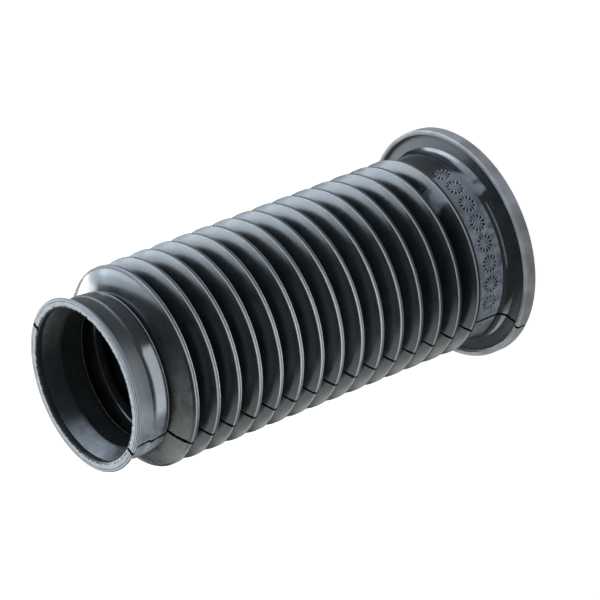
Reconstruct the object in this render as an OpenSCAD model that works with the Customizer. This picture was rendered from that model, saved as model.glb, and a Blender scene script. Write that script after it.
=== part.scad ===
// Rubber boot of a shock absorber, moulded in one piece and turned about Z.
// It stands on its flange: a dished plate with a raised bead round its edge.
// A plain neck joins the flange to a run of V folds, and the folds end in a
// tapered collar that grips the damper tube.
// All sizes are millimetres. Z = 0 is the seat of the flange.

/* [Flange] */
// Radius over the bead round the edge of the flange
flange_r = 39.6; // [38.5:0.1:48]
// Height of the bead above the seat
bead_h = 4.2; // [3.6:0.1:6]
// Width of the bead, measured along a radius
bead_w = 1.6; // [1.2:0.1:2.4]
// Thickness of the dish just inside the bead
dish_edge_t = 3.0; // [2:0.1:3.4]
// Thickness of the dish where the shoulder rises from it
dish_root_t = 4.0; // [3.6:0.1:5]

/* [Neck] */
// Outer radius of the plain neck
neck_r = 31.8; // [30.5:0.1:32.5]
// Wall thickness of the neck
neck_wall = 2.2; // [1.6:0.1:3]
// Height at which the shoulder meets the neck
shoulder_top = 7.2; // [6.4:0.1:9]
// Radius at which the shoulder runs into the dish
shoulder_r = 33.6; // [33.2:0.1:35]

/* [Folds] */
// Number of folds
folds = 15; // [6:1:20]
// Distance from one crest to the next
pitch = 8.16; // [7.6:0.02:10]
// Height of the lowest crest above the seat
first_crest_z = 19.6; // [18.8:0.1:24]
// Radius of the crest next to the collar
crest_r = 33; // [32.6:0.1:34.4]
// Extra radius of the crest next to the flange
crest_growth = 0.8; // [0:0.1:1.2]
// Width of the flat land on each crest
crest_land = 1.45; // [0.8:0.05:1.8]
// Depth of the folds from crest to root, outside
fold_depth = 6.8; // [5.6:0.1:7.2]
// Bulge of each flank, measured at its middle
flank_bulge = 0.45; // [0:0.05:0.6]
// Rubber between a crest and the groove behind it
crest_wall = 2.6; // [2:0.1:3]
// Rubber between a root and the ridge behind it
root_wall = 1.9; // [1.5:0.1:2.3]

/* [Collar] */
// Height of the collar, from its foot to its end face
collar_h = 14.4; // [13.5:0.1:20]
// Outer radius at the foot of the collar
collar_foot_r = 25.3; // [25.1:0.1:25.8]
// Outer radius at the edge of the raised band
band_r = 26.8; // [26.5:0.1:27]
// Outer radius of the channel beside the end lip
channel_r = 26.5; // [26.1:0.1:26.8]
// Outer radius of the end face
face_r = 28.4; // [27.8:0.1:30]
// Radius of the mouth at the end face
mouth_r = 25.5; // [25.3:0.1:26]
// Radius of the bore that grips the damper tube
bore_r = 22.85; // [22:0.05:23.2]

/* [Hidden] */
$fn = 96;

// Places up the axis, worked out from the sizes above
last_crest_z = first_crest_z + pitch * (folds - 1);
collar_foot_z = last_crest_z + 4.95;
face_z = collar_foot_z + collar_h;
neck_bore_r = neck_r - neck_wall;

// Small forms of the mould
seat_edge = 0.4;        // rounding of the flange's lower edge
bead_slope = 0.7;       // fall of the bead's top towards its rim
root_land = 0.9;        // width of the root between two flanks
root_dip = 0.12;        // how far the middle of the root lies below its edges
inner_share = 0.85;     // bulge of the inside of a flank as a share of the outside's
groove_land = 0.3;      // width of the groove behind a crest
ridge_land = 1.6;       // width of the ridge behind a root
ridge_foot = 3.2;       // width of the ridge where its rounding ends
ridge_round = 0.5;      // height of that rounding
band_top_z = face_z - 7.9;
lip_foot_z = face_z - 2.2;
seal_top_z = face_z - 8.0;
lead_in_z = face_z - 2.2;
shut_step = 0.3;        // step where the collar's foot meets the top flank
band_foot = 1.4;        // height of the rounded foot of the raised band
band_fall = 0.4;        // how much smaller the band is above that foot than at its edge
neck_flank_run = 0.45;  // rise of the lowest flank for each millimetre outwards

// Radius and height of crest i, counted from the flange
function crest_radius(i) = crest_r + crest_growth * (folds - 1 - i) / max(folds - 1, 1);
function crest_z(i) = first_crest_z + pitch * i;
// Radius and height of the root between crests i and i + 1
function root_radius(i) = (crest_radius(i) + crest_radius(i + 1)) / 2 - fold_depth;
function root_z(i) = crest_z(i) + pitch / 2;

// Points of an arc about (r, z), from angle a to angle b
function arc(r, z, radius, a, b, steps) =
    [for (k = [0:steps]) let (t = a + (b - a) * k / steps) [r + radius * cos(t), z + radius * sin(t)]];

// Points strictly between p and q on a shallow bow; a positive sag bends it to the left
function bow(p, q, sag, steps) =
    let (along = q - p, side = [-along[1], along[0]] / norm(along))
    [for (k = [1:steps - 1]) let (t = k / steps) p + t * along + 4 * t * (1 - t) * sag * side];

// Outside of the flange, from the seat's outer edge up to the neck
function flange_outside() =
    let (bead_in = flange_r - bead_w, bead_out_z = bead_h - bead_slope)
    concat(
        arc(flange_r - seat_edge, seat_edge, seat_edge, -90, 0, 3),
        arc(flange_r - bead_slope, bead_out_z, bead_slope, 0, 75, 4),
        [[bead_in + 0.3, bead_h], [bead_in, bead_h - 0.25], [bead_in, dish_edge_t + 0.3]],
        [[bead_in - 0.3, dish_edge_t], [shoulder_r, dish_root_t]],
        bow([shoulder_r, dish_root_t], [neck_r, shoulder_top], 0.3, 4),
        [[neck_r, shoulder_top]]);

// Outside of the valley between crests i and i + 1, with both crest edges
function valley_outside(i) =
    let (
        low_edge = [crest_radius(i), crest_z(i) + crest_land / 2],
        high_edge = [crest_radius(i + 1), crest_z(i + 1) - crest_land / 2],
        root_low = [root_radius(i), root_z(i) - root_land / 2],
        root_high = [root_radius(i), root_z(i) + root_land / 2])
    concat(
        [low_edge],
        bow(low_edge, root_low, -flank_bulge, 5),
        [root_low, [root_radius(i) - root_dip, root_z(i)], root_high],
        bow(root_high, high_edge, -flank_bulge, 5),
        [high_edge]);

// Outside of the folds, from the neck to the foot of the collar
function folds_outside() =
    let (
        first_edge = [crest_radius(0), crest_z(0) - crest_land / 2],
        last_edge = [crest_radius(folds - 1), last_crest_z + crest_land / 2],
        top_flank_end = [collar_foot_r - shut_step, collar_foot_z])
    concat(
        [[neck_r, first_edge[1] - neck_flank_run * (first_edge[0] - neck_r)], first_edge],
        [for (i = [0:folds - 2]) each valley_outside(i)],
        [last_edge],
        bow(last_edge, top_flank_end, -flank_bulge, 5),
        [top_flank_end, [collar_foot_r, collar_foot_z + 0.05]]);

// Outside of the collar: raised band, channel and flared end lip
function collar_outside() =
    concat(
        bow([collar_foot_r, collar_foot_z + 0.05], [band_r - band_fall, collar_foot_z + band_foot], -0.22, 4),
        [[band_r - band_fall, collar_foot_z + band_foot]],
        [[band_r, band_top_z - 0.2], [band_r - 0.05, band_top_z], [channel_r - 0.1, band_top_z + 0.5]],
        bow([channel_r - 0.1, band_top_z + 0.5], [channel_r + 0.3, lip_foot_z - 0.3], 0.15, 4),
        [[channel_r + 0.3, lip_foot_z - 0.3], [channel_r + 0.7, lip_foot_z]],
        [[face_r, face_z - 0.3], [face_r - 0.25, face_z]]);

// Inside of the collar, from the mouth down to the foot of the sealing bore
function collar_inside() =
    [
        [mouth_r, face_z],
        [mouth_r - 0.3, face_z - 0.3],
        [mouth_r - 0.3, lead_in_z],
        [bore_r, seal_top_z],
        [bore_r, collar_foot_z - 1.4]
    ];

// Inside of crest i: the groove behind it
function groove(i) =
    let (r = crest_radius(i) - crest_wall, z = crest_z(i))
    [[r, z + groove_land / 2], [r, z - groove_land / 2]];

// Inside of the root between crests i and i + 1: the rounded ridge
function ridge(i) =
    let (r = root_radius(i) - root_wall, z = root_z(i))
    [
        [r + ridge_round, z + ridge_foot / 2],
        [r, z + ridge_land / 2],
        [r, z - ridge_land / 2],
        [r + ridge_round, z - ridge_foot / 2]
    ];

// Inside of the valley between crests i and i + 1, down to the groove behind crest i
function valley_inside(i) =
    let (above = groove(i + 1)[1], crown = ridge(i), below = groove(i)[0], sag = flank_bulge * inner_share)
    concat(
        bow(above, crown[0], sag, 3),
        crown,
        bow(crown[3], below, sag, 3),
        groove(i));

// Inside of the folds, from the collar down to the neck
function folds_inside() =
    concat(groove(folds - 1), [for (i = [folds - 2:-1:0]) each valley_inside(i)]);

// Inside of the neck, a straight bore down to the seat
function neck_inside() =
    [[neck_bore_r, first_crest_z - 2.4], [neck_bore_r, 0]];

module bellows_boot() {
    color("#1d2224")
        rotate_extrude()
            polygon(concat(
                flange_outside(),
                folds_outside(),
                collar_outside(),
                collar_inside(),
                folds_inside(),
                neck_inside()));
}

bellows_boot();
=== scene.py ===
# %% [markdown]
# # A rubber boot for a shock absorber
# This lesson dresses a CAD model of a moulded rubber boot: a beaded flange, a plain neck,
# fifteen V folds and a collar that grips the damper tube. The CAD model has the sizes and
# this script has the looks. Everything is in metres, and the boot stands on its flange at
# the origin with +Z along its axis.

# %% Load the CAD frame
import math

import bpy
from mathutils import Matrix, Vector


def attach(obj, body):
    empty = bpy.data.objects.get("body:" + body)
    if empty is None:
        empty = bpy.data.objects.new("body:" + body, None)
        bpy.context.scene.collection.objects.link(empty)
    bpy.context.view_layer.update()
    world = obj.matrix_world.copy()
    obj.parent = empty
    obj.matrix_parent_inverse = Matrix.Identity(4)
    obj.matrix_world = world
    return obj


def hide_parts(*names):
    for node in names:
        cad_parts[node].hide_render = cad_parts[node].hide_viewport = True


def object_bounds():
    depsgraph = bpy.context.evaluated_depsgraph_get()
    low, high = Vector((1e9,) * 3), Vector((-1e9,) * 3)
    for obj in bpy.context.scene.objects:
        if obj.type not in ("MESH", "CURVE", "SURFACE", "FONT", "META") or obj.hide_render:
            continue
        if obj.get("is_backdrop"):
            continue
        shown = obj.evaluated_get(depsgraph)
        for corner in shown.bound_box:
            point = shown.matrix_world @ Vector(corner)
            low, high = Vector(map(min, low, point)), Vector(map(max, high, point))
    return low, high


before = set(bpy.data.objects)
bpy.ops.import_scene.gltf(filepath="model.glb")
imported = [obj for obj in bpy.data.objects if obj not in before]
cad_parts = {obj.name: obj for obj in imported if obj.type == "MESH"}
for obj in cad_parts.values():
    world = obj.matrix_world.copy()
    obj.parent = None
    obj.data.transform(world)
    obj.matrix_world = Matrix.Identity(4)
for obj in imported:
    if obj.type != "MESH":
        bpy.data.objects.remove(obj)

MM = 0.001
cad_low, cad_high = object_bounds()
print("CAD box in mm:", [round(v / MM, 2) for v in (*cad_low, *cad_high)])

# %% [markdown]
# ## The camera
# The boot was photographed lying on its side, with its collar towards the camera. Here it
# stands, so the camera goes round to the same side of it and rolls until the boot lies in
# the picture as it did. A long lens keeps the fifteen folds nearly the same size.

# %% Camera
CAMERA_AIM = Vector((-0.3, 0.2, 67.0)) * MM
CAMERA_DISTANCE = 996.9 * MM
CAMERA_AZIMUTH = math.radians(60.0)
CAMERA_ELEVATION = math.radians(33.455)
CAMERA_ROLL = math.radians(-111.275)
SENSOR = 36.0
LENS = 184.744


def polar(azimuth, elevation, distance):
    """Point at that distance from the origin, in that direction"""
    level = distance * math.cos(elevation)
    return Vector((level * math.cos(azimuth), level * math.sin(azimuth), distance * math.sin(elevation)))


camera = bpy.data.objects.new("camera", bpy.data.cameras.new("camera"))
bpy.context.scene.collection.objects.link(camera)
camera.data.sensor_width = SENSOR
camera.data.lens = LENS
away = polar(CAMERA_AZIMUTH, CAMERA_ELEVATION, CAMERA_DISTANCE)
camera.matrix_world = (
    Matrix.Translation(CAMERA_AIM + away)
    @ away.to_track_quat("Z", "Y").to_matrix().to_4x4()
    @ Matrix.Rotation(CAMERA_ROLL, 4, "Z")
)
bpy.context.scene.camera = camera
bpy.context.scene.view_settings.view_transform = "Standard"
print("camera at", [round(v, 4) for v in camera.matrix_world.translation])

# %% [markdown]
# ## The section of the boot
# A moulded boot is the same all the way round, so its shape is one outline, turned about
# the axis. The outline is drawn as the mould maker draws it: radius and height in
# millimetres, counter-clockwise from the outer edge of the seat. It could be modelled as a
# mesh by hand, but numbers keep it true to the CAD model.

# %% Driving dimensions
FLANGE_R = cad_high.x / MM
FACE_Z = cad_high.z / MM
BEAD_H, BEAD_W, BEAD_ROUND, SEAT_ROUND = 4.2, 1.6, 0.7, 0.4
DISH_EDGE_T, DISH_ROOT_T, SEAT_MIDDLE_R = 3.0, 4.0, 34.5
NECK_R, SHOULDER_R, SHOULDER_TOP, SHOULDER_SAG = 31.8, 33.6, 7.2, 0.3
FOLDS, PITCH, FIRST_CREST_Z = 15, 8.16, 19.6
CREST_R, CREST_GROWTH, CREST_LAND, CREST_ROUND = 33.0, 0.8, 1.45, 0.22
FOLD_DEPTH, FLANK_BULGE, ROOT_LAND, ROOT_DIP = 6.8, 0.45, 0.9, 0.12
CREST_WALL, ROOT_WALL, INNER_SHARE, GROOVE_LAND = 2.6, 1.9, 0.85, 0.3
FOOT_R, BAND_R, CHANNEL_R, LIP_FACE_R = 25.3, 26.8, 26.5, 28.4
BAND_FOOT, BAND_FALL, SHUT_STEP = 1.4, 0.4, 0.3
MOUTH_R, BORE_R, NECK_BORE_R = 25.5, 22.85, 29.6
LAST_CREST_Z = FIRST_CREST_Z + PITCH * (FOLDS - 1)
FOOT_Z = LAST_CREST_Z + 4.95
BAND_TOP_Z, LIP_FOOT_Z = FACE_Z - 7.9, FACE_Z - 2.2
SEAL_TOP_Z, LEAD_IN_Z = FACE_Z - 8.0, FACE_Z - 2.2
print("folds from", FIRST_CREST_Z, "to", round(LAST_CREST_Z, 2), "mm")


# %% Curves for the outline
def arc(r, z, radius, start, end, steps):
    """Points of an arc about (r, z), from one angle to another in degrees"""
    turns = [math.radians(start + (end - start) * k / steps) for k in range(steps + 1)]
    return [(r + radius * math.cos(t), z + radius * math.sin(t)) for t in turns]


def bow(p, q, sag, steps):
    """Points from p to q on a shallow bow that bends to the left by sag"""
    run, rise = q[0] - p[0], q[1] - p[1]
    length = math.hypot(run, rise)
    points = []
    for k in range(steps + 1):
        t = k / steps
        out = 4 * t * (1 - t) * sag / length
        points.append((p[0] + t * run - out * rise, p[1] + t * rise + out * run))
    return points


print("a quarter arc in three steps:", [(round(r, 2), round(z, 2)) for r, z in arc(0, 0, 1, 0, 90, 3)])

# %% [markdown]
# ## One fold
# A fold is a flat land on the crest and two bulging flanks that meet at a narrow root. Its
# inside follows it: a groove behind the crest and a rounded ridge behind the root, so the
# wall stays even and bends easily. One fold is drawn. An array could copy it, but the
# crests grow along the boot, so Geometry Nodes repeat it.

# %% Outside of one fold
def crest(z):
    """The land of the crest at height z, with its two rounded edges"""
    middle, half = CREST_R - CREST_ROUND, CREST_LAND / 2 - CREST_ROUND
    return arc(middle, z - half, CREST_ROUND, -54, 0, 3) + arc(middle, z + half, CREST_ROUND, 0, 54, 3)


def valley(z):
    """The outside between the crest at height z and the one above it"""
    root_r, root_z = CREST_R - FOLD_DEPTH, z + PITCH / 2
    root_low, root_high = (root_r, root_z - ROOT_LAND / 2), (root_r, root_z + ROOT_LAND / 2)
    lower = bow(crest(z)[-1], root_low, -FLANK_BULGE, 6)
    upper = bow(root_high, crest(z + PITCH)[0], -FLANK_BULGE, 6)
    return lower[1:] + [(root_r - ROOT_DIP, root_z)] + upper


fold_outside = crest(FIRST_CREST_Z) + valley(FIRST_CREST_Z)
print("outside of one fold:", len(fold_outside), "points")

# %% Inside of one fold
# how far back from the ridge's top, and how far from its middle
RIDGE = ((0.5, 1.6), (0.15, 1.25), (0.0, 0.8))


def groove(z):
    """The inside behind the crest at height z, from above to below"""
    return [(CREST_R - CREST_WALL, z + GROOVE_LAND / 2), (CREST_R - CREST_WALL, z - GROOVE_LAND / 2)]


def ridge(z):
    """The inside behind the root at height z, from above to below"""
    top = CREST_R - FOLD_DEPTH - ROOT_WALL
    upper = [(top + back, z + half) for back, half in RIDGE]
    lower = [(top + back, z - half) for back, half in reversed(RIDGE)]
    return upper + lower


def hollow(z):
    """The inside between the crest at height z and the one above it, from above to below"""
    above, crown, below = groove(z + PITCH)[1], ridge(z + PITCH / 2), groove(z)
    sag = FLANK_BULGE * INNER_SHARE
    return bow(above, crown[0], sag, 3)[:-1] + crown + bow(crown[-1], below[0], sag, 3)[1:] + below[1:]


fold_inside = hollow(FIRST_CREST_Z)
print("inside of one fold:", len(fold_inside), "points")

# %% [markdown]
# ## The flange and the neck
# The flange is a dished plate with a raised bead round its edge, which seals against the
# top mount. A curved shoulder joins it to the plain neck, and the crests above it are a
# little wider than those next to the collar. Each length of outline carries the name of the
# finish that the mould gave it.

# %% Outline of the lower end
NECK_FLANK_RUN = 0.45  # rise of the lowest flank for each millimetre outwards


def grown(points):
    """The same points with the crests' growth towards the flange"""
    return [(r + CREST_GROWTH * (LAST_CREST_Z - z) / (LAST_CREST_Z - FIRST_CREST_Z), z) for r, z in points]


bead_in = FLANGE_R - BEAD_W
first_edge = grown(crest(FIRST_CREST_Z)[:1])[0]
neck_top = (NECK_R, first_edge[1] - NECK_FLANK_RUN * (first_edge[0] - NECK_R))
lower_end = [
    ("inside", grown(groove(FIRST_CREST_Z)[1:])),
    ("inside", [(NECK_BORE_R, FIRST_CREST_Z - 2.4), (NECK_BORE_R, 0.0)]),
    ("dish", [(NECK_BORE_R + 0.3, 0.0), (SEAT_MIDDLE_R, 0.0), (FLANGE_R - 2 * SEAT_ROUND, 0.0)]),
    ("bead", arc(FLANGE_R - SEAT_ROUND, SEAT_ROUND, SEAT_ROUND, -90, 0, 4)),
    ("bead", bow((FLANGE_R, 0.9), (FLANGE_R, BEAD_H - 0.8), 0, 3)),
    ("bead", arc(FLANGE_R - BEAD_ROUND, BEAD_H - BEAD_ROUND, BEAD_ROUND, 10, 78, 5)),
    ("bead", [(bead_in + 0.3, BEAD_H), (bead_in + 0.08, BEAD_H - 0.07), (bead_in, BEAD_H - 0.25)]),
    ("dish", [(bead_in, DISH_EDGE_T + 0.3), (bead_in - 0.09, DISH_EDGE_T + 0.09)]),
    ("dish", [(bead_in - 0.3, DISH_EDGE_T)]),
    ("dish", bow((bead_in - 0.8, DISH_EDGE_T + 0.1), (SHOULDER_R + 0.2, DISH_ROOT_T - 0.04), -0.04, 4)),
    ("shoulder", bow((SHOULDER_R, DISH_ROOT_T), (NECK_R, SHOULDER_TOP), SHOULDER_SAG, 8)),
    ("neck", bow((NECK_R, SHOULDER_TOP + 0.15), neck_top, 0, 6)),
    ("folds", [first_edge]),
]
print("lower end:", sum(len(points) for name, points in lower_end), "points")

# %% [markdown]
# ## The collar
# The collar stretches over the damper tube. A raised band stiffens it, a channel beside the
# band takes a clip, and the flared lip ends in a face that was cut flat with a knife. Inside,
# a lead-in guides the tube to the gripping bore, and the mould's lathe-turned core has left
# its lines on it.

# %% Outline of the upper end
BAND_START = (BAND_R - BAND_FALL, FOOT_Z + BAND_FOOT)
CHANNEL_START, CHANNEL_END = (CHANNEL_R - 0.1, BAND_TOP_Z + 0.5), (CHANNEL_R + 0.3, LIP_FOOT_Z - 0.3)
mouth_step_r = MOUTH_R - 0.3
last_crest = grown(crest(LAST_CREST_Z))
upper_end = [
    ("folds", last_crest),
    ("collar", bow(last_crest[-1], (FOOT_R - SHUT_STEP, FOOT_Z), -FLANK_BULGE, 10)[1:]),
    ("collar", bow((FOOT_R, FOOT_Z + 0.05), BAND_START, -0.22, 6)[:-1]),
    ("collar", bow(BAND_START, (BAND_R, BAND_TOP_Z - 0.2), 0, 5) + [(BAND_R - 0.05, BAND_TOP_Z)]),
    ("collar", bow(CHANNEL_START, CHANNEL_END, 0.15, 7)),
    ("collar", bow((CHANNEL_R + 0.7, LIP_FOOT_Z), (LIP_FACE_R - 0.12, FACE_Z - 0.75), -0.06, 4)),
    ("collar", [(LIP_FACE_R - 0.2, FACE_Z - 0.6), (LIP_FACE_R, FACE_Z - 0.45), (LIP_FACE_R, FACE_Z - 0.3)]),
    ("end_face", [(LIP_FACE_R - 0.07, FACE_Z - 0.08), (LIP_FACE_R - 0.25, FACE_Z)]),
    ("end_face", [(27.2, FACE_Z), (26.2, FACE_Z), (MOUTH_R + 0.15, FACE_Z), (MOUTH_R, FACE_Z - 0.05)]),
    ("inside", [(MOUTH_R - 0.25, FACE_Z - 0.22), (mouth_step_r, FACE_Z - 0.4)]),
    ("inside", [(mouth_step_r, LEAD_IN_Z + 0.1)]),
    ("lead_in", bow((mouth_step_r - 0.05, LEAD_IN_Z), (BORE_R, SEAL_TOP_Z), 0, 6)),
    ("inside", bow((BORE_R, SEAL_TOP_Z - 0.3), (BORE_R, FOOT_Z - 1.25), 0, 4)),
    ("inside", [(BORE_R + 0.05, FOOT_Z - 1.4), (BORE_R + 0.3, FOOT_Z - 1.5)]),
    ("inside", grown(groove(LAST_CREST_Z))),
]
print("upper end:", sum(len(points) for name, points in upper_end), "points")

# %% [markdown]
# ## The outlines as a mesh
# Four chains of edges hold the whole section: the two ends, and the outside and the inside
# of one fold. Two attributes go with their points: the number of the finish, and whether
# the point belongs to the fold that repeats.

# %% Lay the outlines out as one mesh of edges
FINISHES = ["folds", "neck", "shoulder", "dish", "bead", "collar", "end_face", "inside", "lead_in"]
chains = [
    (lower_end, False),
    (upper_end, False),
    ([("folds", fold_outside)], True),
    ([("inside", fold_inside)], True),
]
points, edges, finish, in_fold = [], [], [], []
for chain, repeats in chains:
    start = len(points)
    for name, line in chain:
        points += [(r * MM, 0.0, z * MM) for r, z in line]
        finish += [FINISHES.index(name)] * len(line)
        in_fold += [repeats] * len(line)
    edges += [(k, k + 1) for k in range(start, len(points) - 1)]
section = bpy.data.meshes.new("boot_section")
section.from_pydata(points, edges, [])
section.attributes.new("finish", "INT", "POINT").data.foreach_set("value", finish)
section.attributes.new("in_fold", "BOOLEAN", "POINT").data.foreach_set("value", in_fold)
total = len(points) + (FOLDS - 2) * (len(fold_outside) + len(fold_inside))
print("the whole section has about", total, "points")

# %% [markdown]
# ## Nodes
# Geometry and shader trees are built with one small function. It adds a node, sets its
# properties and fills its inputs: a value goes into the socket and a socket is linked.

# %% One function for every node
def add(tree, kind, inputs=(), **settings):
    """Adds a node with these settings, and links or fills its inputs"""
    made = tree.nodes.new(kind)
    for name, value in settings.items():
        setattr(made, name, value)
    for key, value in dict(inputs).items():
        if isinstance(value, bpy.types.NodeSocket):
            tree.links.new(value, made.inputs[key])
        else:
            made.inputs[key].default_value = value
    return made


# %% [markdown]
# ## Masks
# The whole boot is one black rubber. What changes from place to place is how the mould, the
# knife or handling left its surface, and where light and shade are painted on it. Each such
# mark could be painted on an image, but here it is a product of masks, which are 1 where the
# mark is and 0 elsewhere. Masks are worked out from the place on the boot in millimetres, so
# a mark has its real size and stays sharp from close by. Upper and lower are meant as the
# boot lies in the picture.

# %% Colours and places
def linear(code):
    """sRGB hex colour as linear red, green, blue and alpha"""
    channels = [int(code[k:k + 2], 16) / 255 for k in (0, 2, 4)]
    return [c / 12.92 if c <= 0.04045 else ((c + 0.055) / 1.055) ** 2.4 for c in channels] + [1.0]


def millimetres(tree):
    """The place on the boot: x, y and z in millimetres, the radius, and the turn in degrees"""
    metres = add(tree, "ShaderNodeTexCoord").outputs["Object"]
    scaled = add(tree, "ShaderNodeVectorMath", {0: metres, "Scale": 1 / MM}, operation="SCALE").outputs[0]
    x, y, z = add(tree, "ShaderNodeSeparateXYZ", {0: scaled}).outputs
    level = add(tree, "ShaderNodeCombineXYZ", {"X": x, "Y": y})
    radius = add(tree, "ShaderNodeVectorMath", {0: level.outputs[0]}, operation="LENGTH").outputs["Value"]
    turn = add(tree, "ShaderNodeMath", {0: y, 1: x}, operation="ARCTAN2")
    degrees = add(tree, "ShaderNodeMath", {0: turn.outputs[0]}, operation="DEGREES").outputs[0]
    return {"mm": scaled, "y": y, "z": z, "radius": radius, "turn": degrees}


print("a mid grey, 808080, is", round(linear("808080")[0], 3), "in linear light")


# %% Soft edges, wandering lines and clouds
THIN, THICK = 0.38, 0.62


def within(tree, value, reach, soft):
    """1 where the value is within reach of zero, fading to 0 over the next soft millimetres"""
    size = add(tree, "ShaderNodeMath", {0: value}, operation="ABSOLUTE")
    fade = add(tree, "ShaderNodeMapRange", {
        "Value": size.outputs[0], "From Min": reach, "From Max": reach + soft,
        "To Min": 1.0, "To Max": 0.0}, interpolation_type="SMOOTHSTEP")
    return fade.outputs[0]


def stray(tree, place, value, size, amount):
    """The same value, wandering by some of that amount over lengths of that size"""
    noise = add(tree, "ShaderNodeTexNoise", {"Vector": place["mm"], "Scale": 1 / size, "Detail": 3.0})
    centred = add(tree, "ShaderNodeMath", {0: noise.outputs["Fac"], 1: 0.5}, operation="SUBTRACT")
    moved = add(tree, "ShaderNodeMath", {0: centred.outputs[0], 1: amount, 2: value},
                operation="MULTIPLY_ADD")
    return moved.outputs[0]


def clouds(tree, place, size, least):
    """Soft clouds of that size, between that least value and 1"""
    noise = add(tree, "ShaderNodeTexNoise", {"Vector": place["mm"], "Scale": 1 / size, "Detail": 4.0})
    return add(tree, "ShaderNodeMapRange", {
        "Value": noise.outputs["Fac"], "From Min": THIN, "From Max": THICK, "To Min": least}).outputs[0]


# %% Places round and along the boot
def turned_to(tree, place, turn, reach, soft):
    """1 where the boot faces that turn, in degrees, with a ragged edge"""
    aside = add(tree, "ShaderNodeMath", {0: place["turn"], 1: turn}, operation="SUBTRACT").outputs[0]
    return within(tree, stray(tree, place, aside, size=6.0, amount=10.0), reach, soft)


def at_height(tree, place, height, reach, soft, amount=0.1):
    """A line round the boot at one height"""
    above = add(tree, "ShaderNodeMath", {0: place["z"], 1: height}, operation="SUBTRACT").outputs[0]
    return within(tree, stray(tree, place, above, size=0.8, amount=amount), reach, soft)


def from_crest(tree, place, offset):
    """The height above the nearest crest, less an offset, wandering a little"""
    from_first = add(tree, "ShaderNodeMath", {0: place["z"], 1: FIRST_CREST_Z}, operation="SUBTRACT")
    from_nearest = add(tree, "ShaderNodeMath", {0: from_first.outputs[0], 1: PITCH / 2, 2: -PITCH / 2},
                       operation="WRAP")
    less = add(tree, "ShaderNodeMath", {0: from_nearest.outputs[0], 1: offset}, operation="SUBTRACT")
    return stray(tree, place, less.outputs[0], size=3.0, amount=0.1)


print("one degree of turn is", round(math.radians(NECK_R), 2), "mm round the neck")

# %% [markdown]
# ## The parting lines
# The two halves of the mould meet in a plane through the axis, and leave a thin line, dark
# with shade, on both sides of the boot. On the collar it is torn and leans a little, with pale
# flash beside it, and it ends in a notch in the end face. The cut itself is about 0.4 mm wide,
# too fine to show, so painted shade over it makes a dark line 0.9 mm wide, and the notch is
# painted dark with shade too. Each mark below is a function that gives its masks, followed
# by its tone, its roughness and how far it stands proud, in millimetres.

# %% Parting lines, flash and notch
SEAM_LEAN = 0.08


def parting_line_shade(tree, place):
    """Painted shade along the line where the two halves of the mould met"""
    return [within(tree, stray(tree, place, place["y"], size=1.2, amount=0.7), reach=0.42, soft=0.12)]


def from_collar_seam(tree, place):
    """The distance from the parting line of the collar, which leans towards the end face"""
    lean = add(tree, "ShaderNodeMapRange", {
        "Value": place["z"], "From Min": FOOT_Z, "From Max": FACE_Z,
        "To Max": SEAM_LEAN * (FACE_Z - FOOT_Z)})
    return add(tree, "ShaderNodeMath", {0: place["y"], 1: lean.outputs[0]}, operation="ADD").outputs[0]


def torn_parting_line_shade(tree, place):
    """Painted shade along the same line where it tore as the mould opened, wider and more ragged"""
    ragged = stray(tree, place, from_collar_seam(tree, place), size=1.0, amount=1.2)
    return [within(tree, ragged, reach=0.58, soft=0.12)]


def parting_flash(tree, place):
    """The pale torn flash beside the parting line of the collar"""
    beside = add(tree, "ShaderNodeMath", {0: from_collar_seam(tree, place), 1: 0.7}, operation="SUBTRACT")
    ragged = stray(tree, place, beside.outputs[0], size=1.0, amount=1.0)
    on_collar = add(tree, "ShaderNodeMapRange", {
        "Value": place["z"], "From Min": FOOT_Z + 2.0, "From Max": FOOT_Z + 7.0})
    return [within(tree, ragged, reach=0.3, soft=0.2), on_collar.outputs[0]]


def face_notch_shade(tree, place):
    """Painted shade in the notch that the parting line leaves in the end face"""
    ragged = stray(tree, place, from_collar_seam(tree, place), size=1.2, amount=0.7)
    return [within(tree, ragged, reach=0.6, soft=0.1)]


# the parting lines and the notch are dark with painted shade
PARTING_SHADE = (parting_line_shade, "040505", 0.8, -0.2)
TORN_PARTING_SHADE = (torn_parting_line_shade, "030404", 0.8, -0.2)
FLASH = (parting_flash, "a6aaae", 0.6, 0.15)
NOTCH_SHADE = (face_notch_shade, "010101", 0.8, -0.3)
print("the collar's parting line leans", round(SEAM_LEAN * (FACE_Z - FOOT_Z), 2), "mm by the end face")

# %% [markdown]
# ## The crests
# The crests touch whatever the boot lies on. Their lands are duller than the flanks and
# darker with painted shade, painted highlights run as thin pale lines along their edges on
# one side of the boot, and the lands of the other side are a paler brownish grey.

# %% Lands and painted highlights of the crests
HIGHLIGHT_TURN, LEAST_HIGHLIGHT, SECOND_TURN = 45.0, 0.3, 62.0


def crest_land(tree, place):
    """The land of each crest, duller than the flanks and darker with painted shade"""
    return [within(tree, from_crest(tree, place, offset=0.0), reach=CREST_LAND / 2 - 0.1, soft=0.1)]


def upper_land(tree, place):
    """The land on the upper side of the boot, a paler brownish grey"""
    return crest_land(tree, place) + [turned_to(tree, place, turn=160.0, reach=20.0, soft=50.0)]


def crest_highlight_line(tree, place):
    """A painted highlight on the upper edge of each crest, strongest on one side of the boot and fainter
    elsewhere
    """
    line = within(tree, from_crest(tree, place, offset=0.46), reach=0.15, soft=0.15)
    aside = add(tree, "ShaderNodeMath", {0: place["turn"], 1: HIGHLIGHT_TURN}, operation="SUBTRACT").outputs[0]
    lit_side = within(tree, aside, reach=65.0, soft=65.0)
    side = add(tree, "ShaderNodeMath", {0: lit_side, 1: 1 - LEAST_HIGHLIGHT, 2: LEAST_HIGHLIGHT},
               operation="MULTIPLY_ADD")
    return [line, side.outputs[0]]


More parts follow.
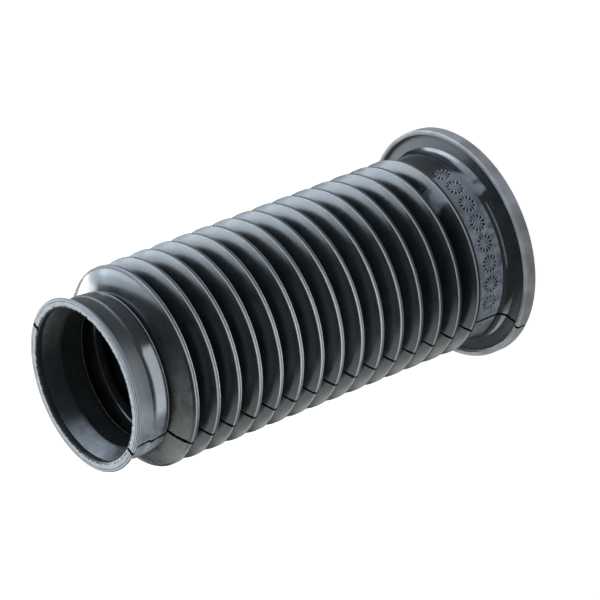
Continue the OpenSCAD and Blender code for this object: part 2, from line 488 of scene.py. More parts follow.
def second_highlight_line(tree, place):
    """A thinner painted highlight on the lower edge of the crests next to the collar"""
    line = within(tree, from_crest(tree, place, offset=-0.5), reach=0.08, soft=0.12)
    near_collar = add(tree, "ShaderNodeMapRange", {
        "Value": place["z"], "From Min": 66.0, "From Max": 96.0})
    aside = add(tree, "ShaderNodeMath", {0: place["turn"], 1: SECOND_TURN}, operation="SUBTRACT").outputs[0]
    return [line, within(tree, aside, reach=26.0, soft=26.0), near_collar.outputs[0]]


# painted shade darkens the lands, and the two pale lines on the crests are painted highlights
SHADED_LAND = (crest_land, "0f1112", 0.6, 0.0)
PALE_UPPER_LAND = (upper_land, "6a6866", 0.5, 0.0)
CREST_HIGHLIGHT = (crest_highlight_line, "a2a6a8", 0.45, 0.0)
SECOND_HIGHLIGHT = (second_highlight_line, "94989c", 0.45, 0.0)
print("lands are", CREST_LAND, "mm wide")

# %% [markdown]
# ## The collar's marks
# A painted highlight runs along the band's foot, and the channel is dull and darker with
# painted shade. A pale and a brownish painted sheen lie on the lower side, and the side of
# the lip was left rough by the knife.

# %% Band, channel, lip and painted sheen
def band_foot_highlight(tree, place):
    """A painted highlight along the foot of the raised band"""
    return [at_height(tree, place, FOOT_Z + BAND_FOOT - 0.35, reach=0.12, soft=0.12)]


def channel(tree, place):
    """The channel beside the end lip, duller than the band and darker with painted shade"""
    middle, half = (BAND_TOP_Z + LIP_FOOT_Z) / 2, (LIP_FOOT_Z - BAND_TOP_Z) / 2
    return [at_height(tree, place, middle, reach=half, soft=0.3)]


def lip_side(tree, place):
    """The side of the end lip, left pale and rough"""
    return [at_height(tree, place, FACE_Z - 1.0, reach=1.1, soft=0.15, amount=0.3)]


def flank_sheen(tree, place):
    """A brownish painted sheen on the lower side of the flank next to the collar"""
    flank = at_height(tree, place, FOOT_Z - 2.4, reach=1.0, soft=1.4, amount=0.8)
    low_side = turned_to(tree, place, turn=4.0, reach=28.0, soft=36.0)
    return [flank, low_side, clouds(tree, place, size=3.0, least=0.6)]


def collar_sheen(tree, place):
    """A pale painted sheen on the collar beside the parting line"""
    side = at_height(tree, place, LIP_FOOT_Z - 4.0, reach=4.0, soft=3.0)
    low_side = turned_to(tree, place, turn=2.0, reach=12.0, soft=26.0)
    return [side, low_side, clouds(tree, place, size=3.0, least=0.6)]


# the band's foot line and the two sheens are painted light, and the channel's dark tone is painted shade
BAND_FOOT_HIGHLIGHT = (band_foot_highlight, "b0b4b8", 0.4, 0.0)
SHADED_CHANNEL = (channel, "161a1d", 0.55, 0.0)
LIP_SIDE = (lip_side, "7c8286", 0.55, 0.0)
FLANK_SHEEN = (flank_sheen, "606361", 0.4, 0.0)
COLLAR_SHEEN = (collar_sheen, "868d94", 0.4, 0.0)
print("the channel runs from", round(BAND_TOP_Z, 2), "to", round(LIP_FOOT_Z, 2), "mm")

# %% [markdown]
# ## The end face and the bore
# The knife left fine dark lines round the end face and small nicks in the edge of the
# mouth. Inside, a pale sheen is painted on the lower side of the lead-in, and a highlight is
# painted on the far edge of the bore.

# %% Marks of the end face, the mouth and the bore
FACE_LINES_R, FACE_LINES_APART = 27.75, 0.8


def face_lines(tree, place):
    """Two fine dark lines round the end face near its outer edge"""
    out = add(tree, "ShaderNodeMath", {0: place["radius"], 1: FACE_LINES_R}, operation="SUBTRACT")
    apart = add(tree, "ShaderNodeMath", {0: out.outputs[0]}, operation="ABSOLUTE")
    from_line = add(tree, "ShaderNodeMath", {0: apart.outputs[0], 1: FACE_LINES_APART / 2},
                    operation="SUBTRACT").outputs[0]
    return [within(tree, stray(tree, place, from_line, size=2.0, amount=0.3), reach=0.06, soft=0.12)]


def mouth_nicks(tree, place):
    """Small dark nicks in the edge of the mouth"""
    out = add(tree, "ShaderNodeMath", {0: place["radius"], 1: MOUTH_R}, operation="SUBTRACT").outputs[0]
    return [within(tree, stray(tree, place, out, size=0.9, amount=2.2), reach=0.25, soft=0.15)]


def bore_edge_highlight(tree, place):
    """A painted highlight along the lower edge of the bore"""
    return [at_height(tree, place, FOOT_Z - 1.4, reach=0.12, soft=0.12)]


def lead_in_sheen(tree, place):
    """A pale painted sheen on the lower side of the lead-in"""
    low_side = turned_to(tree, place, turn=-72.0, reach=12.0, soft=20.0)
    return [low_side, clouds(tree, place, size=2.5, least=0.7)]


FACE_LINES = (face_lines, "3a3e41", 0.6, -0.1)
NICKS = (mouth_nicks, "1a1c1d", 0.6, -0.1)
# the bore's edge line is a painted highlight and the lead-in's pale patch a painted sheen
BORE_EDGE_HIGHLIGHT = (bore_edge_highlight, "c8c8c0", 0.4, 0.0)
LEAD_IN_SHEEN = (lead_in_sheen, "848a92", 0.45, 0.0)
print("the lines of the end face are", FACE_LINES_APART, "mm apart")

# %% [markdown]
# ## The rings on the neck
# Round dials let into the mould leave rings of small pits on the neck, each with short
# ticks inside it. The turn round the neck is rounded to the nearest ring, and the place
# from that ring's middle is cut into spokes, so eight rings of twelve pits need no mesh. The
# pits are painted black as shade, and the same pattern, a little aside, paints a glint on the
# far wall of each pit.

# %% Rings of pits
RING_FIRST, RING_STEP, RINGS, RING_Z = 14.0, 12.8, 8, 12.6
RING_PITS, RING_R, PIT_LENGTH, PIT_WIDTH = 12, 2.45, 0.95, 0.66
TICKS_IN, TICK_LENGTH, TICK_WIDTH = 0.95, 0.4, 0.16
GLINT_SHIFT = 0.2


def dial_rings(tree, place, shift=0.0):
    """Rings of small pits and ticks round the neck, shifted aside by so many millimetres"""
    steps = add(tree, "ShaderNodeMapRange", {
        "Value": place["turn"], "From Min": RING_FIRST, "From Max": RING_FIRST + RING_STEP * (RINGS - 1),
        "To Max": RINGS - 1.0})
    nearest = add(tree, "ShaderNodeMath", {0: steps.outputs[0]}, operation="ROUND")
    middle = add(tree, "ShaderNodeMath", {0: nearest.outputs[0], 1: RING_STEP, 2: RING_FIRST},
                 operation="MULTIPLY_ADD")
    aside = add(tree, "ShaderNodeMath", {0: place["turn"], 1: middle.outputs[0]}, operation="SUBTRACT")
    along = add(tree, "ShaderNodeMath", {0: aside.outputs[0], 1: math.radians(NECK_R), 2: shift},
                operation="MULTIPLY_ADD").outputs[0]
    above = add(tree, "ShaderNodeMath", {0: place["z"], 1: RING_Z - shift}, operation="SUBTRACT").outputs[0]
    flat = add(tree, "ShaderNodeCombineXYZ", {"X": along, "Y": above})
    out = add(tree, "ShaderNodeVectorMath", {0: flat.outputs[0]}, operation="LENGTH").outputs["Value"]
    angle = add(tree, "ShaderNodeMath", {0: above, 1: along}, operation="ARCTAN2")
    spoke = add(tree, "ShaderNodeMath", {
        0: angle.outputs[0], 1: math.pi / RING_PITS, 2: -math.pi / RING_PITS}, operation="WRAP")
    across = add(tree, "ShaderNodeMath", {0: spoke.outputs[0], 1: out}, operation="MULTIPLY").outputs[0]
    shapes = []
    for radius, length, width, length_soft in (
            (RING_R, PIT_LENGTH, PIT_WIDTH, 0.15), (RING_R - TICKS_IN, TICK_LENGTH, TICK_WIDTH, 0.2)):
        from_ring = add(tree, "ShaderNodeMath", {0: out, 1: radius}, operation="SUBTRACT").outputs[0]
        shapes.append(add(tree, "ShaderNodeMath", {
            0: within(tree, from_ring, length / 2, length_soft), 1: within(tree, across, width / 2, 0.1)},
            operation="MULTIPLY").outputs[0])
    cut = add(tree, "ShaderNodeMath", {0: shapes[0], 1: shapes[1]}, operation="MAXIMUM").outputs[0]
    return [cut, clouds(tree, place, size=1.1, least=0.7)]


def pit_glints(tree, place):
    """The far wall of each pit, which catches the light"""
    return dial_rings(tree, place, GLINT_SHIFT)


PIT_GLINTS = (pit_glints, "b4bac0", 0.3, 0.0)
# the pits are painted black as shade
RING_PIT_SHADE = (dial_rings, "000000", 0.25, -1.4)
print(RINGS, "rings of", RING_PITS, "pits")

# %% [markdown]
# ## Painted sheen, painted shade and dust
# The lower side of the neck carries a painted pale sheen and its upper side painted shade. A
# smear of dust with a ragged edge crosses the neck, the shoulder and the lowest fold.

# %% Painted sheen, painted shade and dust
DUST_TURN, DUST_Z, DUST_HALF_ARC, DUST_HALF_HEIGHT = 90.0, 14.0, 15.0, 12.0


def neck_sheen(tree, place):
    """The pale painted sheen on the lower side of the neck"""
    low_side = turned_to(tree, place, turn=32.0, reach=20.0, soft=45.0)
    return [low_side, clouds(tree, place, size=2.2, least=0.35)]


def upper_side_mask(tree, place):
    """The upper side of the boot, painted darker on the neck and paler on the plate"""
    return [turned_to(tree, place, turn=152.0, reach=36.0, soft=24.0)]


def dust(tree, place):
    """A smear of pale dust with a ragged edge"""
    aside = add(tree, "ShaderNodeMapRange", {
        "Value": place["turn"], "From Min": DUST_TURN, "From Max": DUST_TURN + DUST_HALF_ARC}, clamp=False)
    above = add(tree, "ShaderNodeMapRange", {
        "Value": place["z"], "From Min": DUST_Z, "From Max": DUST_Z + DUST_HALF_HEIGHT}, clamp=False)
    flat = add(tree, "ShaderNodeCombineXYZ", {"X": aside.outputs[0], "Y": above.outputs[0]})
    out = add(tree, "ShaderNodeVectorMath", {0: flat.outputs[0]}, operation="LENGTH").outputs["Value"]
    return [within(tree, stray(tree, place, out, size=5.0, amount=0.9), reach=0.7, soft=0.3)]


# a painted sheen on the neck's lower side, painted shade on its upper side, and painted light on the plate's
# upper side
NECK_SHEEN = (neck_sheen, "9aa2a9", 0.45, 0.0)
NECK_TOP_SHADE = (upper_side_mask, "0a0b0c", 0.4, 0.0)
DULL_PAINTED_LIGHT_TOP = (upper_side_mask, "3a4045", 0.6, 0.0)
DUST = (dust, "757a81", 0.7, 0.0)
print("the dust lies about", DUST_TURN, "degrees from the parting line")

# %% [markdown]
# ## The rubber
# The boot is of black rubber filled with carbon black, a dark dielectric with an index of
# refraction of about 1.52. One function makes every finish: its colour drifts between two
# near blacks, its roughness drifts with it, and the mould gives it a fine grain and turning
# lines. The real grain is under 0.1 mm, too fine to show, so it is drawn 0.35 mm coarse. A
# cut traps its light, so its gloss is taken away there. The export keeps only the plain
# gloss, so cuts come out a little greyer in the exported model.

# %% Rubber
RUBBER_IOR, RELIEF = 1.52, 0.6
GLOSS, TRAPPED, CUT_DEEPER_THAN = 0.5, 0.95, 0.15
PATCHES_FROM, PATCHES_TO, SMOOTHER, ROUGHER = 0.35, 0.7, 0.06, 0.08
GRAIN, LINES_PER_MM, LINES_SHARE = 0.35, 3.0, 0.6


def rubber(name, dark, pale, rough, mottle=6.0, depth=0.02, marks=(PARTING_SHADE,)):
    """Rubber in soft patches of two colours, with a fine grain, turning lines and marks on it"""
    material = bpy.data.materials.new(name)
    material.use_nodes = True
    tree = material.node_tree
    tree.nodes.clear()
    place = millimetres(tree)
    patches = add(tree, "ShaderNodeTexNoise", {"Vector": place["mm"], "Scale": 1 / mottle, "Detail": 4.0})
    amount = add(tree, "ShaderNodeMapRange", {
        "Value": patches.outputs["Fac"], "From Min": PATCHES_FROM, "From Max": PATCHES_TO})
    colour = add(tree, "ShaderNodeMix", {"Factor": amount.outputs[0], "A": linear(dark), "B": linear(pale)},
                 data_type="RGBA").outputs["Result"]
    roughness = add(tree, "ShaderNodeMapRange", {
        "Value": patches.outputs["Fac"], "To Min": rough - SMOOTHER, "To Max": rough + ROUGHER}).outputs[0]
    round_about = add(tree, "ShaderNodeCombineXYZ", {"X": place["radius"], "Z": place["z"]})
    lines = add(tree, "ShaderNodeTexNoise", {
        "Vector": round_about.outputs[0], "Scale": LINES_PER_MM, "Detail": 2.0})
    fine = add(tree, "ShaderNodeTexNoise", {"Vector": place["mm"], "Scale": 1 / GRAIN, "Detail": 2.0})
    grain = add(tree, "ShaderNodeMath", {0: fine.outputs["Fac"], 1: depth}, operation="MULTIPLY")
    height = add(tree, "ShaderNodeMath", {
        0: lines.outputs["Fac"], 1: depth * LINES_SHARE, 2: grain.outputs[0]},
        operation="MULTIPLY_ADD").outputs[0]
    gloss = GLOSS
    for masks_of, tone, mark_rough, rise in marks:
        mask, *others = masks_of(tree, place)
        for other in others:
            mask = add(tree, "ShaderNodeMath", {0: mask, 1: other}, operation="MULTIPLY").outputs[0]
        if rise < -CUT_DEEPER_THAN:
            left = add(tree, "ShaderNodeMath", {0: mask, 1: -TRAPPED, 2: 1.0}, operation="MULTIPLY_ADD")
            gloss = add(tree, "ShaderNodeMath", {0: left.outputs[0], 1: gloss},
                        operation="MULTIPLY").outputs[0]
        colour = add(tree, "ShaderNodeMix", {"Factor": mask, "A": colour, "B": linear(tone)},
                     data_type="RGBA").outputs["Result"]
        roughness = add(tree, "ShaderNodeMix", {"Factor": mask, 2: roughness, 3: mark_rough}).outputs[0]
        height = add(tree, "ShaderNodeMath", {0: mask, 1: rise, 2: height},
                     operation="MULTIPLY_ADD").outputs[0]
    relief = add(tree, "ShaderNodeBump", {"Height": height, "Distance": MM, "Strength": RELIEF})
    surface = add(tree, "ShaderNodeBsdfPrincipled", {
        "Base Color": colour, "Roughness": roughness, "Normal": relief.outputs[0], "IOR": RUBBER_IOR,
        "Specular IOR Level": gloss})
    add(tree, "ShaderNodeOutputMaterial", {"Surface": surface.outputs[0]})
    return material


square_on = ((RUBBER_IOR - 1) / (RUBBER_IOR + 1)) ** 2
print("rubber reflects", round(100 * square_on, 1), "% of the light that meets it square on")

# %% [markdown]
# ## Nine finishes
# The mould was polished where the boot must slip out of it and blasted where it need not,
# and the knife left the end face raw. A low roughness gives long clear highlights, and a
# high one a soft grey sheen.

# %% Finishes
FINISH_MATERIALS = {
    # satin from a polished mould: clear bands of light across the tops of the folds
    "folds": rubber("moulded_rubber_satin", "1a1f20", "232829", 0.23,
                    marks=(DUST, SHADED_LAND, PALE_UPPER_LAND, CREST_HIGHLIGHT, SECOND_HIGHLIGHT, PARTING_SHADE)),
    # blasted: a bluish grey sheen with no clear highlight, painted paler on its lower side and darker on its
    # upper side
    "neck": rubber("moulded_rubber_blasted", "3c434c", "545b64", 0.42, depth=0.06,
                   marks=(NECK_SHEEN, NECK_TOP_SHADE, DUST, PIT_GLINTS, RING_PIT_SHADE, PARTING_SHADE)),
    # the glossiest: one narrow bright arc round the foot of the neck
    "shoulder": rubber("moulded_rubber_shoulder", "1f2427", "292e31", 0.14, depth=0.01,
                       marks=(DUST, PARTING_SHADE)),
    # satin, duller on its upper side, where it is painted paler as light
    "dish": rubber("moulded_rubber_plate", "1f2427", "292e31", 0.26, marks=(DULL_PAINTED_LIGHT_TOP, PARTING_SHADE)),
    # worn matt and pale from handling
    "bead": rubber("moulded_rubber_bead", "8c8a86", "b4b8bc", 0.5, mottle=9.0),
    # polished: sharp reflections on the band and the first flank
    "collar": rubber("moulded_rubber_collar", "1f2427", "292e31", 0.17, depth=0.01,
                     marks=(FLANK_SHEEN, SHADED_CHANNEL, COLLAR_SHEEN, LIP_SIDE, BAND_FOOT_HIGHLIGHT, FLASH,
                            TORN_PARTING_SHADE)),
    # cut with a knife: pale, matt and finely mottled
    "end_face": rubber("cut_rubber_face", "b6bbbe", "d0d5d8", 0.6, mottle=2.0,
                       marks=(FACE_LINES, NICKS, NOTCH_SHADE)),
    # satin and clean, seen only by what light falls in
    "inside": rubber("moulded_rubber_inside", "2c2f31", "383c3e", 0.25, marks=(BORE_EDGE_HIGHLIGHT,)),
    # turned: deep lines round it break its highlight into streaks
    "lead_in": rubber("turned_rubber_lead_in", "1f2224", "2a2e31", 0.38, depth=0.26, marks=(LEAD_IN_SHEEN,)),
}
print("finishes:", ", ".join(material.name for material in FINISH_MATERIALS.values()))

# %% [markdown]
# ## Turning the section into the boot
# A modifier could screw the outline round, but a node tree can also repeat the fold, let the
# crests grow and crowd the columns of the sweep at the parting lines, where the detail is.
# Its sizes are inputs, so the boot can be changed without opening the tree.

# %% The tree and its inputs
SIZES = [
    ("Folds", "NodeSocketInt", FOLDS),
    ("Pitch", "NodeSocketFloat", PITCH * MM),
    ("First crest height", "NodeSocketFloat", FIRST_CREST_Z * MM),
    ("Last crest height", "NodeSocketFloat", LAST_CREST_Z * MM),
    ("Crest growth", "NodeSocketFloat", CREST_GROWTH * MM),
    ("Sweep radius", "NodeSocketFloat", 30 * MM),
    ("Columns", "NodeSocketInt", 160),
    ("Crowding", "NodeSocketFloat", 0.9),
    ("Join distance", "NodeSocketFloat", 0.004 * MM),
    ("Sharp angle", "NodeSocketFloat", math.radians(24)),
    ("Seam depth", "NodeSocketFloat", 0.3 * MM),
    ("Seam width", "NodeSocketFloat", 0.22 * MM),
    ("Seam jag", "NodeSocketFloat", 0.25 * MM),
    ("Seam lean", "NodeSocketFloat", SEAM_LEAN),
    ("Collar foot height", "NodeSocketFloat", FOOT_Z * MM),
]
boot_tree = bpy.data.node_groups.new("turn_the_boot", "GeometryNodeTree")
boot_tree.interface.new_socket("Mesh", in_out="INPUT", socket_type="NodeSocketGeometry")
for label, kind, value in SIZES:
    boot_tree.interface.new_socket(label, in_out="INPUT", socket_type=kind).default_value = value
for label in FINISHES:
    boot_tree.interface.new_socket(label, in_out="INPUT", socket_type="NodeSocketMaterial")
boot_tree.interface.new_socket("Mesh", in_out="OUTPUT", socket_type="NodeSocketGeometry")
given = add(boot_tree, "NodeGroupInput").outputs
place = add(boot_tree, "GeometryNodeInputPosition").outputs[0]
apart = add(boot_tree, "ShaderNodeSeparateXYZ", {0: place}).outputs
finish_here = add(boot_tree, "GeometryNodeInputNamedAttribute", {"Name": "finish"}, data_type="INT")
print("the tree has", len(SIZES), "sizes and", len(FINISHES), "materials going in")

# %% [markdown]
# ### Repeat the fold
# The fold's two chains are copied up the axis, one pitch apart, and each copy moves outwards
# by its share of the growth. The instances are realised, because the ends have to join on.

# %% Repeat the fold
repeated = add(boot_tree, "GeometryNodeInputNamedAttribute", {"Name": "in_fold"}, data_type="BOOLEAN")
parts = add(boot_tree, "GeometryNodeSeparateGeometry", {
    "Geometry": given["Mesh"], "Selection": repeated.outputs["Attribute"]}, domain="POINT")
gaps = add(boot_tree, "ShaderNodeMath", {0: given["Folds"], 1: 1.0}, operation="SUBTRACT")
step = add(boot_tree, "ShaderNodeCombineXYZ", {"Z": given["Pitch"]})
heights = add(boot_tree, "GeometryNodeMeshLine", {"Count": gaps.outputs[0], "Offset": step.outputs[0]})
copies = add(boot_tree, "GeometryNodeInstanceOnPoints", {
    "Points": heights.outputs[0], "Instance": parts.outputs["Selection"]})
all_folds = add(boot_tree, "GeometryNodeRealizeInstances", {"Geometry": copies.outputs[0]})
growth = add(boot_tree, "ShaderNodeMapRange", {
    "Value": apart["Z"], "From Min": given["First crest height"], "From Max": given["Last crest height"],
    "To Min": given["Crest growth"], "To Max": 0.0}, clamp=False)
outwards = add(boot_tree, "ShaderNodeCombineXYZ", {"X": growth.outputs[0]})
grown_folds = add(boot_tree, "GeometryNodeSetPosition", {
    "Geometry": all_folds.outputs[0], "Offset": outwards.outputs[0]})
print("nodes with the folds repeated:", len(boot_tree.nodes))

# %% [markdown]
# ### Sweep the outline
# The chains are joined end to end and become one closed curve. It is laid flat and swept
# round a circle as its profile, upside down, because a profile's Y points along the
# circle's normal. The faces then point inwards, so they are flipped.

# %% Sweep the outline
joined = add(boot_tree, "GeometryNodeJoinGeometry", {0: parts.outputs["Inverted"]})
boot_tree.links.new(grown_folds.outputs[0], joined.inputs[0])
closed = add(boot_tree, "GeometryNodeMergeByDistance", {
    "Geometry": joined.outputs[0], "Distance": given["Join distance"]})
outline = add(boot_tree, "GeometryNodeMeshToCurve", {"Mesh": closed.outputs[0]})
offset = add(boot_tree, "ShaderNodeMath", {0: apart["X"], 1: given["Sweep radius"]}, operation="SUBTRACT")
upside_down = add(boot_tree, "ShaderNodeMath", {0: apart["Z"], 1: -1.0}, operation="MULTIPLY")
flat = add(boot_tree, "ShaderNodeCombineXYZ", {"X": offset.outputs[0], "Y": upside_down.outputs[0]})
profile = add(boot_tree, "GeometryNodeSetPosition", {
    "Geometry": outline.outputs[0], "Position": flat.outputs[0]})
circle = add(boot_tree, "GeometryNodeCurvePrimitiveCircle", {
    "Resolution": given["Columns"], "Radius": given["Sweep radius"]})
tube = add(boot_tree, "GeometryNodeCurveToMesh", {
    "Curve": circle.outputs[0], "Profile Curve": profile.outputs[0]})
swept = add(boot_tree, "GeometryNodeFlipFaces", {"Mesh": tube.outputs[0]})
print("nodes with the sweep:", len(boot_tree.nodes))

# %% [markdown]
# ### Crowd the columns
# The parting lines lie at turns of 0 and 180 degrees. Taking a share of sin(2a) from each
# turn a draws the columns towards both, so a cut of a few tenths of a millimetre gets
# columns about 0.1 mm apart without many more faces.

# %% Crowd the columns at the parting lines
around = add(boot_tree, "ShaderNodeMath", {0: apart["Y"], 1: apart["X"]}, operation="ARCTAN2")
twice = add(boot_tree, "ShaderNodeMath", {0: around.outputs[0], 1: 2.0}, operation="MULTIPLY")
wave = add(boot_tree, "ShaderNodeMath", {0: twice.outputs[0]}, operation="SINE")
half_crowding = add(boot_tree, "ShaderNodeMath", {0: given["Crowding"], 1: -0.5}, operation="MULTIPLY")
angle = add(boot_tree, "ShaderNodeMath", {
    0: wave.outputs[0], 1: half_crowding.outputs[0], 2: around.outputs[0]}, operation="MULTIPLY_ADD")
level = add(boot_tree, "ShaderNodeCombineXYZ", {"X": apart["X"], "Y": apart["Y"]})
radius = add(boot_tree, "ShaderNodeVectorMath", {0: level.outputs[0]}, operation="LENGTH").outputs["Value"]
cosine = add(boot_tree, "ShaderNodeMath", {0: angle.outputs[0]}, operation="COSINE")
sine = add(boot_tree, "ShaderNodeMath", {0: angle.outputs[0]}, operation="SINE")
new_x = add(boot_tree, "ShaderNodeMath", {0: radius, 1: cosine.outputs[0]}, operation="MULTIPLY")
new_y = add(boot_tree, "ShaderNodeMath", {0: radius, 1: sine.outputs[0]}, operation="MULTIPLY")
turned = add(boot_tree, "ShaderNodeCombineXYZ", {
    "X": new_x.outputs[0], "Y": new_y.outputs[0], "Z": apart["Z"]})
crowded = add(boot_tree, "GeometryNodeSetPosition", {
    "Geometry": swept.outputs[0], "Position": turned.outputs[0]})
print("nodes with the columns crowded:", len(boot_tree.nodes))

# %% [markdown]
# ### Cut the parting lines
# Each point moves inwards by a bell curve of its distance from the parting line, so the cut
# is real and shows in the outline. The distance wanders a little, and on the collar it
# leans as the torn line does. The inside was made by a core in one piece, so it has no line.

# %% Cut the parting lines
JAG_SIZE = 1.5
jag = add(boot_tree, "ShaderNodeTexNoise", {"Vector": place, "Scale": 1 / (JAG_SIZE * MM), "Detail": 2.0})
centred = add(boot_tree, "ShaderNodeMath", {0: jag.outputs["Fac"], 1: 0.5}, operation="SUBTRACT")
above_foot = add(boot_tree, "ShaderNodeMath", {
    0: apart["Z"], 1: given["Collar foot height"]}, operation="SUBTRACT")
up_collar = add(boot_tree, "ShaderNodeMath", {0: above_foot.outputs[0], 1: 0.0}, operation="MAXIMUM")
from_seam = add(boot_tree, "ShaderNodeMath", {
    0: up_collar.outputs[0], 1: given["Seam lean"], 2: apart["Y"]}, operation="MULTIPLY_ADD")
strayed = add(boot_tree, "ShaderNodeMath", {
    0: centred.outputs[0], 1: given["Seam jag"], 2: from_seam.outputs[0]}, operation="MULTIPLY_ADD")
share = add(boot_tree, "ShaderNodeMath", {0: strayed.outputs[0], 1: given["Seam width"]}, operation="DIVIDE")
squared = add(boot_tree, "ShaderNodeMath", {0: share.outputs[0], 1: share.outputs[0]}, operation="MULTIPLY")
falling = add(boot_tree, "ShaderNodeMath", {0: squared.outputs[0], 1: -1.0}, operation="MULTIPLY")
bell = add(boot_tree, "ShaderNodeMath", {0: falling.outputs[0]}, operation="EXPONENT")
cut = add(boot_tree, "ShaderNodeMath", {0: bell.outputs[0], 1: given["Seam depth"]}, operation="MULTIPLY")
inwards = add(boot_tree, "ShaderNodeMath", {0: cut.outputs[0], 1: -1.0}, operation="MULTIPLY")
normal = add(boot_tree, "GeometryNodeInputNormal").outputs[0]
move = add(boot_tree, "ShaderNodeVectorMath", {0: normal, "Scale": inwards.outputs[0]}, operation="SCALE")
outside = add(boot_tree, "FunctionNodeCompare", {
    "A": finish_here.outputs["Attribute"], "B": FINISHES.index("inside")},
    data_type="INT", operation="LESS_THAN")
seamed = add(boot_tree, "GeometryNodeSetPosition", {
    "Geometry": crowded.outputs[0], "Selection": outside.outputs[0], "Offset": move.outputs[0]})
print("nodes with the parting lines cut:", len(boot_tree.nodes))

# %% [markdown]
# ### Shade it and give each place its finish
# Faces are smooth, with crisp edges where the outline turns sharply. Each finish is laid on
# every face from its number up, and the next one covers its own share, so no face is left
# without a material.

# %% Shade it and give each place its finish
turn = add(boot_tree, "GeometryNodeInputMeshEdgeAngle").outputs["Unsigned Angle"]
crisp = add(boot_tree, "FunctionNodeCompare", {"A": turn, "B": given["Sharp angle"]},
            data_type="FLOAT", operation="GREATER_THAN")
smooth = add(boot_tree, "GeometryNodeSetShadeSmooth", {
    "Geometry": seamed.outputs[0], "Shade Smooth": True}, domain="FACE")
edged = add(boot_tree, "GeometryNodeSetShadeSmooth", {
    "Geometry": smooth.outputs[0], "Selection": crisp.outputs[0], "Shade Smooth": False}, domain="EDGE")
result = add(boot_tree, "GeometryNodeRealizeInstances", {"Geometry": edged.outputs[0]}).outputs[0]
for index, name in enumerate(FINISHES):
    here = add(boot_tree, "FunctionNodeCompare", {"A": finish_here.outputs["Attribute"], "B": index},
               data_type="INT", operation="GREATER_EQUAL")
    result = add(boot_tree, "GeometryNodeSetMaterial", {
        "Geometry": result, "Selection": here.outputs[0], "Material": given[name]}).outputs[0]
add(boot_tree, "NodeGroupOutput", {0: result})
print("the tree has", len(boot_tree.nodes), "nodes")

# %% [markdown]
# ## The boot
# The tree runs on the section as a modifier, and the result is kept as a plain mesh. The
# boot rides on the model's only body, and stands for its only solid.

# %% Run the tree and keep its mesh
source = bpy.data.objects.new("boot_section", section)
bpy.context.scene.collection.objects.link(source)
modifier = source.modifiers.new("nodes", "NODES")
modifier.node_group = boot_tree
values = {label: value for label, kind, value in SIZES} | FINISH_MATERIALS
for item in boot_tree.interface.items_tree:
    if item.item_type == "SOCKET" and item.in_out == "INPUT" and item.name in values:
        modifier[item.identifier] = values[item.name]
bpy.context.view_layer.update()
evaluated = source.evaluated_get(bpy.context.evaluated_depsgraph_get())
boot = bpy.data.objects.new("moulded_boot", bpy.data.meshes.new_from_object(evaluated))
bpy.context.scene.collection.objects.link(boot)
bpy.data.objects.remove(source)
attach(boot, "root")
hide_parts("bellows_boot")
print("boot:", len(boot.data.vertices), "vertices and", len(boot.data.polygons), "faces")

# %% [markdown]
# ## The floor and the world
# A pale floor and a dim even sky make a plain studio. The floor glows for the camera alone:
# it looks white and keeps its shadows, and the boot gets no light from the glow.

# %% Floor and world
FLOOR_HALF, FLOOR_GAP = 3.0, 0.02
PAPER, GLOW = "b8b8b8", 0.8
SKY, SKY_STRENGTH = "e6ecf2", 0.2


def floor_material():
    """White paper with a glow that only the camera sees"""
    material = bpy.data.materials.new("white_paper")
    material.use_nodes = True
    tree = material.node_tree
    tree.nodes.clear()
    ray = add(tree, "ShaderNodeLightPath").outputs
    strength = add(tree, "ShaderNodeMath", {0: ray["Is Camera Ray"], 1: GLOW}, operation="MULTIPLY")
    paper = add(tree, "ShaderNodeBsdfDiffuse", {"Color": linear(PAPER)})
    glow = add(tree, "ShaderNodeEmission", {"Strength": strength.outputs[0]})
    glowing = add(tree, "ShaderNodeAddShader", {0: paper.outputs[0], 1: glow.outputs[0]})
    add(tree, "ShaderNodeOutputMaterial", {"Surface": glowing.outputs[0]})
    return material


corners = [(x * FLOOR_HALF, y * FLOOR_HALF, -FLOOR_GAP * MM)
           for x, y in ((-1, -1), (1, -1), (1, 1), (-1, 1))]
floor_mesh = bpy.data.meshes.new("floor")
floor_mesh.from_pydata(corners, [], [(0, 1, 2, 3)])
floor_mesh.materials.append(floor_material())
floor = bpy.data.objects.new("floor", floor_mesh)
bpy.context.scene.collection.objects.link(floor)
floor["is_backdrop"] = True

world = bpy.data.worlds.new("studio")
world.use_nodes = True
background = world.node_tree.nodes["Background"].inputs
background["Color"].default_value = linear(SKY)
background["Strength"].default_value = SKY_STRENGTH
bpy.context.scene.world = world
print("floor:", 2 * FLOOR_HALF, "m square")

# %% [markdown]
# ## The panels
# Black rubber shows little of its own colour: what the eye reads is the panels' reflections
# in it, so the panels stand where the highlights ask for them. The two keys make the bands
# across the tops of the folds, the bridge and the window the glints beyond them, and the
# low pair the sheen near the lower parting line. A small panel close by lights the raised
# band. The keys, the bridge and the small panel light only the gloss, and the fill lights
# only the plain colour, so that colours come out about as they are written.

# %% Panels
PANEL_AIM = Vector((0.0, 0.0, 80.0)) * MM
COLLAR_AIM = Vector((0.0, 0.0, 142.0)) * MM
PANEL_DISTANCE = 0.9


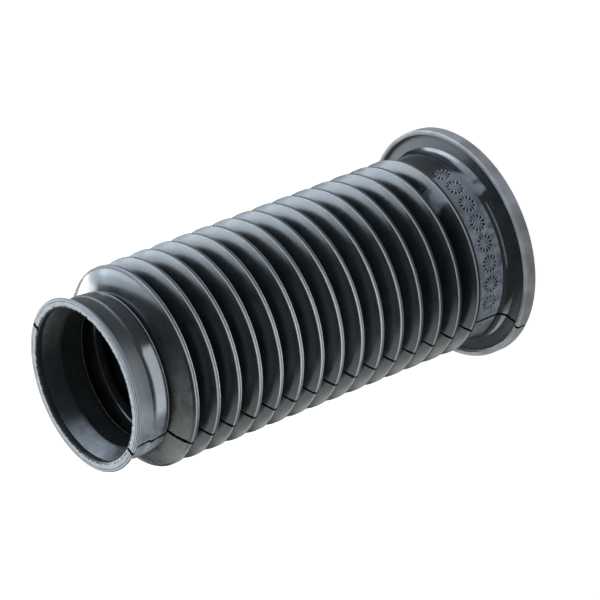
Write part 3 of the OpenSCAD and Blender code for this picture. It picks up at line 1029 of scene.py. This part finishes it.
def panel(name, azimuth, elevation, size, radiance, tint="ffffff", roll=0.0,
          aim=PANEL_AIM, distance=PANEL_DISTANCE, diffuse=True, glossy=True):
    """A soft panel that faces the boot, with the brightness of its surface as given"""
    light = bpy.data.lights.new(name, "AREA")
    light.shape = "RECTANGLE"
    light.size, light.size_y = size
    light.energy = radiance * math.pi * size[0] * size[1]
    light.color = linear(tint)[:3]
    lamp = bpy.data.objects.new(name, light)
    bpy.context.scene.collection.objects.link(lamp)
    away = polar(math.radians(azimuth), math.radians(elevation), distance)
    lamp.matrix_world = (
        Matrix.Translation(aim + away)
        @ away.to_track_quat("Z", "Y").to_matrix().to_4x4()
        @ Matrix.Rotation(math.radians(roll), 4, "Z")
    )
    lamp.visible_camera = False
    lamp.visible_diffuse = diffuse
    lamp.visible_glossy = glossy


panel("key_wide", 164, 31, (1.16, 0.79), 5.3, "e0effc", roll=-25, diffuse=False)
panel("key_core", 174, 21, (0.76, 0.64), 3.7, "e0effc", roll=-40, diffuse=False)
panel("fill", 120, 70, (1.20, 1.20), 0.8, "f0f6fc", glossy=False)
panel("bridge", 206, 14, (0.22, 0.40), 3.5, "dfeefc", diffuse=False)
panel("window", 222, 14, (0.28, 0.44), 7.5)
panel("side", 240, 18, (0.40, 0.50), 1.8, "eef4ff")
panel("shoulder_light", 158, 12, (0.40, 0.34), 4.0, "dcebff")
panel("low_core", 300, 12, (0.60, 0.40), 2.0, "f0f8f6")
panel("low_wide", 302, 26, (0.90, 0.90), 1.5, "f0f8f6")
panel("top", 132, 8, (0.45, 0.28), 4.5, "dcebff")
panel("strip", 50, 5, (1.30, 0.12), 3.5, "eef4ff")
panel("collar_light", 31, -41, (0.165, 0.076), 8.4, "e4eef6", aim=COLLAR_AIM, distance=0.11, diffuse=False)
print("panels:", len(bpy.data.lights))

# %% [markdown]
# ## Sizes and the end
# The box of what was made is printed in millimetres, as the CAD box was at the start, so
# that the two can be compared.

# %% Sizes and the end
visual_low, visual_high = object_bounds()
print("visual box in mm:", [round(v / MM, 2) for v in (*visual_low, *visual_high)])
